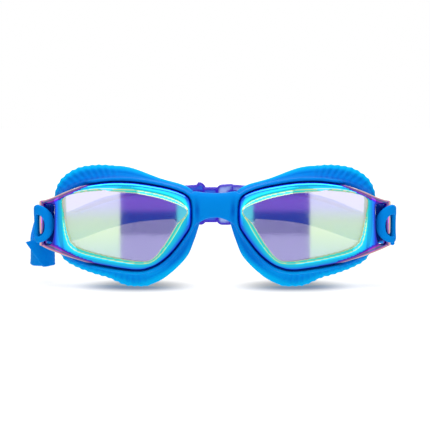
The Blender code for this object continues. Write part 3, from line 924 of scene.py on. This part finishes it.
SILICONE, MIRROR = silicone(), mirror()
SOCKET = clasp_plastic("clasp_azure", (0.02, 0.16, 0.85), 0.2)
PLUG = clasp_plastic("clasp_pale", (0.42, 0.55, 0.98), 0.4)
dress(frame_silicone(), SILICONE, "frame_skirt", "front")
dress(lens("lens_right_mirror", 1), MIRROR, "lens_right", "front")
dress(lens("lens_left_mirror", -1), MIRROR, "lens_left", "front")
for label, side, tail_end, curl in (("right", 1, -1, ()), ("left", -1, 0, TAIL_CURL)):
    piece = strap(f"strap_{label}_band", side, tail_end, curl)
    dress(piece, SILICONE, f"strap_{label}", None)
    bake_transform(piece)
dress(clasp_socket(), SOCKET, "clasp_socket", "left_clasp")
dress(clasp_plug(), PLUG, "clasp_plug", "right_clasp")


# Studio.

# Colours of the glowing cards, as (height share, colour). The heights are the ones that the windows mirror.
GLOW_LOW, GLOW_HIGH = -0.12, 0.0
MAIN_GLOW = [
    (0.0, (0.52, 0.53, 0.70)), (0.2, (0.46, 0.53, 0.56)), (0.38, (0.59, 0.63, 0.50)),
    (0.5, (0.63, 0.61, 0.53)), (0.64, (0.70, 0.54, 0.94)), (1.0, (0.72, 0.54, 1.0)),
]
DARK_GLOW = [
    (0.0, (0.45, 0.32, 0.95)), (0.34, (0.40, 0.27, 0.90)), (0.38, (0.04, 0.0, 0.32)),
    (0.56, (0.07, 0.02, 0.40)), (0.61, (0.35, 0.10, 0.90)), (0.70, (0.40, 0.10, 1.0)),
    (0.78, (0.15, 0.03, 0.50)), (1.0, (0.12, 0.02, 0.50)),
]
NOSE_GLOW = [(0.0, (0.3, 0.7, 0.9)), (1.0, (0.05, 0.6, 1.0))]


def flat_card(name, corners, strength, colours):
    """A glowing card that only mirrors show; its colours run upwards."""
    mesh = bpy.data.meshes.new(name)
    mesh.from_pydata(corners, [], [(0, 1, 2, 3)])
    card = bpy.data.objects.new(name, mesh)
    bpy.context.scene.collection.objects.link(card)
    look = bpy.data.materials.new(name)
    look.use_nodes = True
    tree = look.node_tree
    tree.nodes.clear()
    glow = tree.nodes.new("ShaderNodeEmission")
    glow.inputs["Strength"].default_value = strength
    place = tree.nodes.new("ShaderNodeTexCoord")
    split = tree.nodes.new("ShaderNodeSeparateXYZ")
    tree.links.new(place.outputs["Object"], split.inputs[0])
    height = node(tree, "ShaderNodeMapRange")
    height.inputs["From Min"].default_value = GLOW_LOW
    height.inputs["From Max"].default_value = GLOW_HIGH
    tree.links.new(split.outputs["Z"], height.inputs["Value"])
    tree.links.new(ramp(tree, height.outputs["Result"], colours), glow.inputs["Color"])
    out = tree.nodes.new("ShaderNodeOutputMaterial")
    tree.links.new(glow.outputs["Emission"], out.inputs["Surface"])
    mesh.materials.append(look)
    card.visible_camera = False
    card.visible_diffuse = False
    card.visible_shadow = False
    card.visible_transmission = False
    return card


def lamp(name, place, aim, size, power):
    light = bpy.data.lights.new(name, "AREA")
    light.shape = "DISK"
    light.size = size
    light.energy = power
    thing = bpy.data.objects.new(name, light)
    thing.location = place
    thing.rotation_euler = (Vector(aim) - Vector(place)).to_track_quat("-Z", "Y").to_euler()
    bpy.context.scene.collection.objects.link(thing)


def side_card(name, side, first, last, strength, colours, low=-0.35, high=0.5):
    """An upright card 1.1 m in front of one lens, between two angles from -Y. Sizes are in metres."""
    origin = Vector((side * 0.040, -0.062, 0.0))
    reach = 1.1
    ends = [origin + Vector((side * math.sin(math.radians(a)), -math.cos(math.radians(a)), 0)) * reach
            for a in (first, last)]
    corners = [(ends[0].x, ends[0].y, low), (ends[1].x, ends[1].y, low),
               (ends[1].x, ends[1].y, high), (ends[0].x, ends[0].y, high)]
    return flat_card(name, corners, strength, colours)


def sky(scene):
    """White all round: weak as a light, stronger in the mirrors, and full white to the camera."""
    world = bpy.data.worlds.new("studio")
    scene.world = world
    world.use_nodes = True
    tree = world.node_tree
    tree.nodes.clear()
    path = tree.nodes.new("ShaderNodeLightPath")
    out = tree.nodes.new("ShaderNodeOutputWorld")
    last = None
    for outlet, strength in ((None, 0.34), ("Is Glossy Ray", 0.8), ("Is Camera Ray", 1.0)):
        white = tree.nodes.new("ShaderNodeBackground")
        white.inputs["Color"].default_value = (1, 1, 1, 1)
        white.inputs["Strength"].default_value = strength
        if last is None:
            last = white.outputs["Background"]
        else:
            last = mixed(tree, path.outputs[outlet], last, white.outputs["Background"])
    tree.links.new(last, out.inputs["Surface"])


def contact_shade(tree, place, level):
    """Soft shade where each lobe of the frame meets the floor. Only the camera sees it: it dims no light."""
    seen = tree.nodes.new("ShaderNodeLightPath").outputs["Is Camera Ray"]
    for side in (-1, 1):
        spot = node(tree, "ShaderNodeMapping")
        spot.vector_type = "TEXTURE"
        spot.inputs["Location"].default_value = (side * 0.0345, -0.044, 0)
        spot.inputs["Scale"].default_value = (0.030, 0.030, 1)
        tree.links.new(place, spot.inputs["Vector"])
        away = node(tree, "ShaderNodeVectorMath", operation="LENGTH")
        tree.links.new(spot.outputs["Vector"], away.inputs[0])
        painted_shade = node(tree, "ShaderNodeMapRange", interpolation_type="SMOOTHSTEP")
        painted_shade.inputs["From Min"].default_value = 0.25
        painted_shade.inputs["To Min"].default_value = 0.22
        tree.links.new(away.outputs["Value"], painted_shade.inputs["Value"])
        share = node(tree, "ShaderNodeMix")
        share.inputs["A"].default_value = 1.0
        tree.links.new(seen, share.inputs["Factor"])
        tree.links.new(painted_shade.outputs["Result"], share.inputs["B"])
        times = node(tree, "ShaderNodeMath", operation="MULTIPLY")
        tree.links.new(level, times.inputs[0])
        tree.links.new(share.outputs["Result"], times.inputs[1])
        level = times.outputs["Value"]
    return level


def white_floor(scene):
    """A white floor that glows a little more further out, so that it runs into the white behind."""
    half = 3
    corners = [(-half, -half, 0), (half, -half, 0), (half, half, 0), (-half, half, 0)]
    floor = bpy.data.objects.new("floor", bpy.data.meshes.new("floor"))
    floor.data.from_pydata(corners, [], [(0, 1, 2, 3)])
    scene.collection.objects.link(floor)
    made, tree, shader = material("floor_white")
    shader.inputs["Base Color"].default_value = (0.30, 0.295, 0.28, 1)
    shader.inputs["Emission Color"].default_value = (1, 1, 1, 1)
    place = tree.nodes.new("ShaderNodeTexCoord").outputs["Object"]
    far = node(tree, "ShaderNodeVectorMath", operation="LENGTH")
    tree.links.new(place, far.inputs[0])
    glow = node(tree, "ShaderNodeMapRange", interpolation_type="SMOOTHSTEP")
    for socket, value in (("From Min", 0.12), ("From Max", 0.9), ("To Min", 0.8), ("To Max", 0.95)):
        glow.inputs[socket].default_value = value
    tree.links.new(far.outputs["Value"], glow.inputs["Value"])
    tree.links.new(contact_shade(tree, place, glow.outputs["Result"]), shader.inputs["Emission Strength"])
    shader.inputs["Roughness"].default_value = 0.9
    shader.inputs["Specular IOR Level"].default_value = 0.1
    floor.data.materials.append(made)
    floor.visible_glossy = False
    return floor


def front_view(scene):
    """The camera, as wide as VIEW_WIDE where it aims."""
    view = bpy.data.cameras.new("camera")
    view.sensor_width = SENSOR_MM
    view.lens = SENSOR_MM * VIEW_FAR / VIEW_WIDE
    view.clip_start = 0.01
    camera = bpy.data.objects.new("camera", view)
    scene.collection.objects.link(camera)
    rise = math.radians(VIEW_RISE)
    camera.location = VIEW_AIM + Vector((0, -math.cos(rise), math.sin(rise))) * VIEW_FAR
    camera.rotation_euler = (VIEW_AIM - camera.location).to_track_quat("-Z", "Y").to_euler()
    scene.camera = camera
    scene.view_settings.view_transform = "Standard"


def studio():
    """Floor, sky, cards, lamps and camera, in metres."""
    scene = bpy.context.scene
    sky(scene)
    floor = white_floor(scene)
    for name, side in (("right", 1), ("left", -1)):
        side_card(f"card_main_{name}", side, 19.6, 62.0, 2.0, MAIN_GLOW)
        side_card(f"card_dark_{name}", side, 16.2, 19.6, 1.0, DARK_GLOW, -0.17, 0.03)
        side_card(f"card_nose_{name}", side, 12.0, 16.2, 1.5, NOSE_GLOW, -0.17, 0.03)
    lamp("key", (0.0, -0.25, 1.1), (0, -0.04, 0.02), 1.2, 12.5)
    lamp("fill", (0.0, -1.2, 0.5), (0, -0.05, 0.02), 0.8, 1.3)
    lamp("rear", (0.0, 1.0, 0.7), (0, 0.0, 0.02), 0.9, 2.5)
    front_view(scene)


studio()
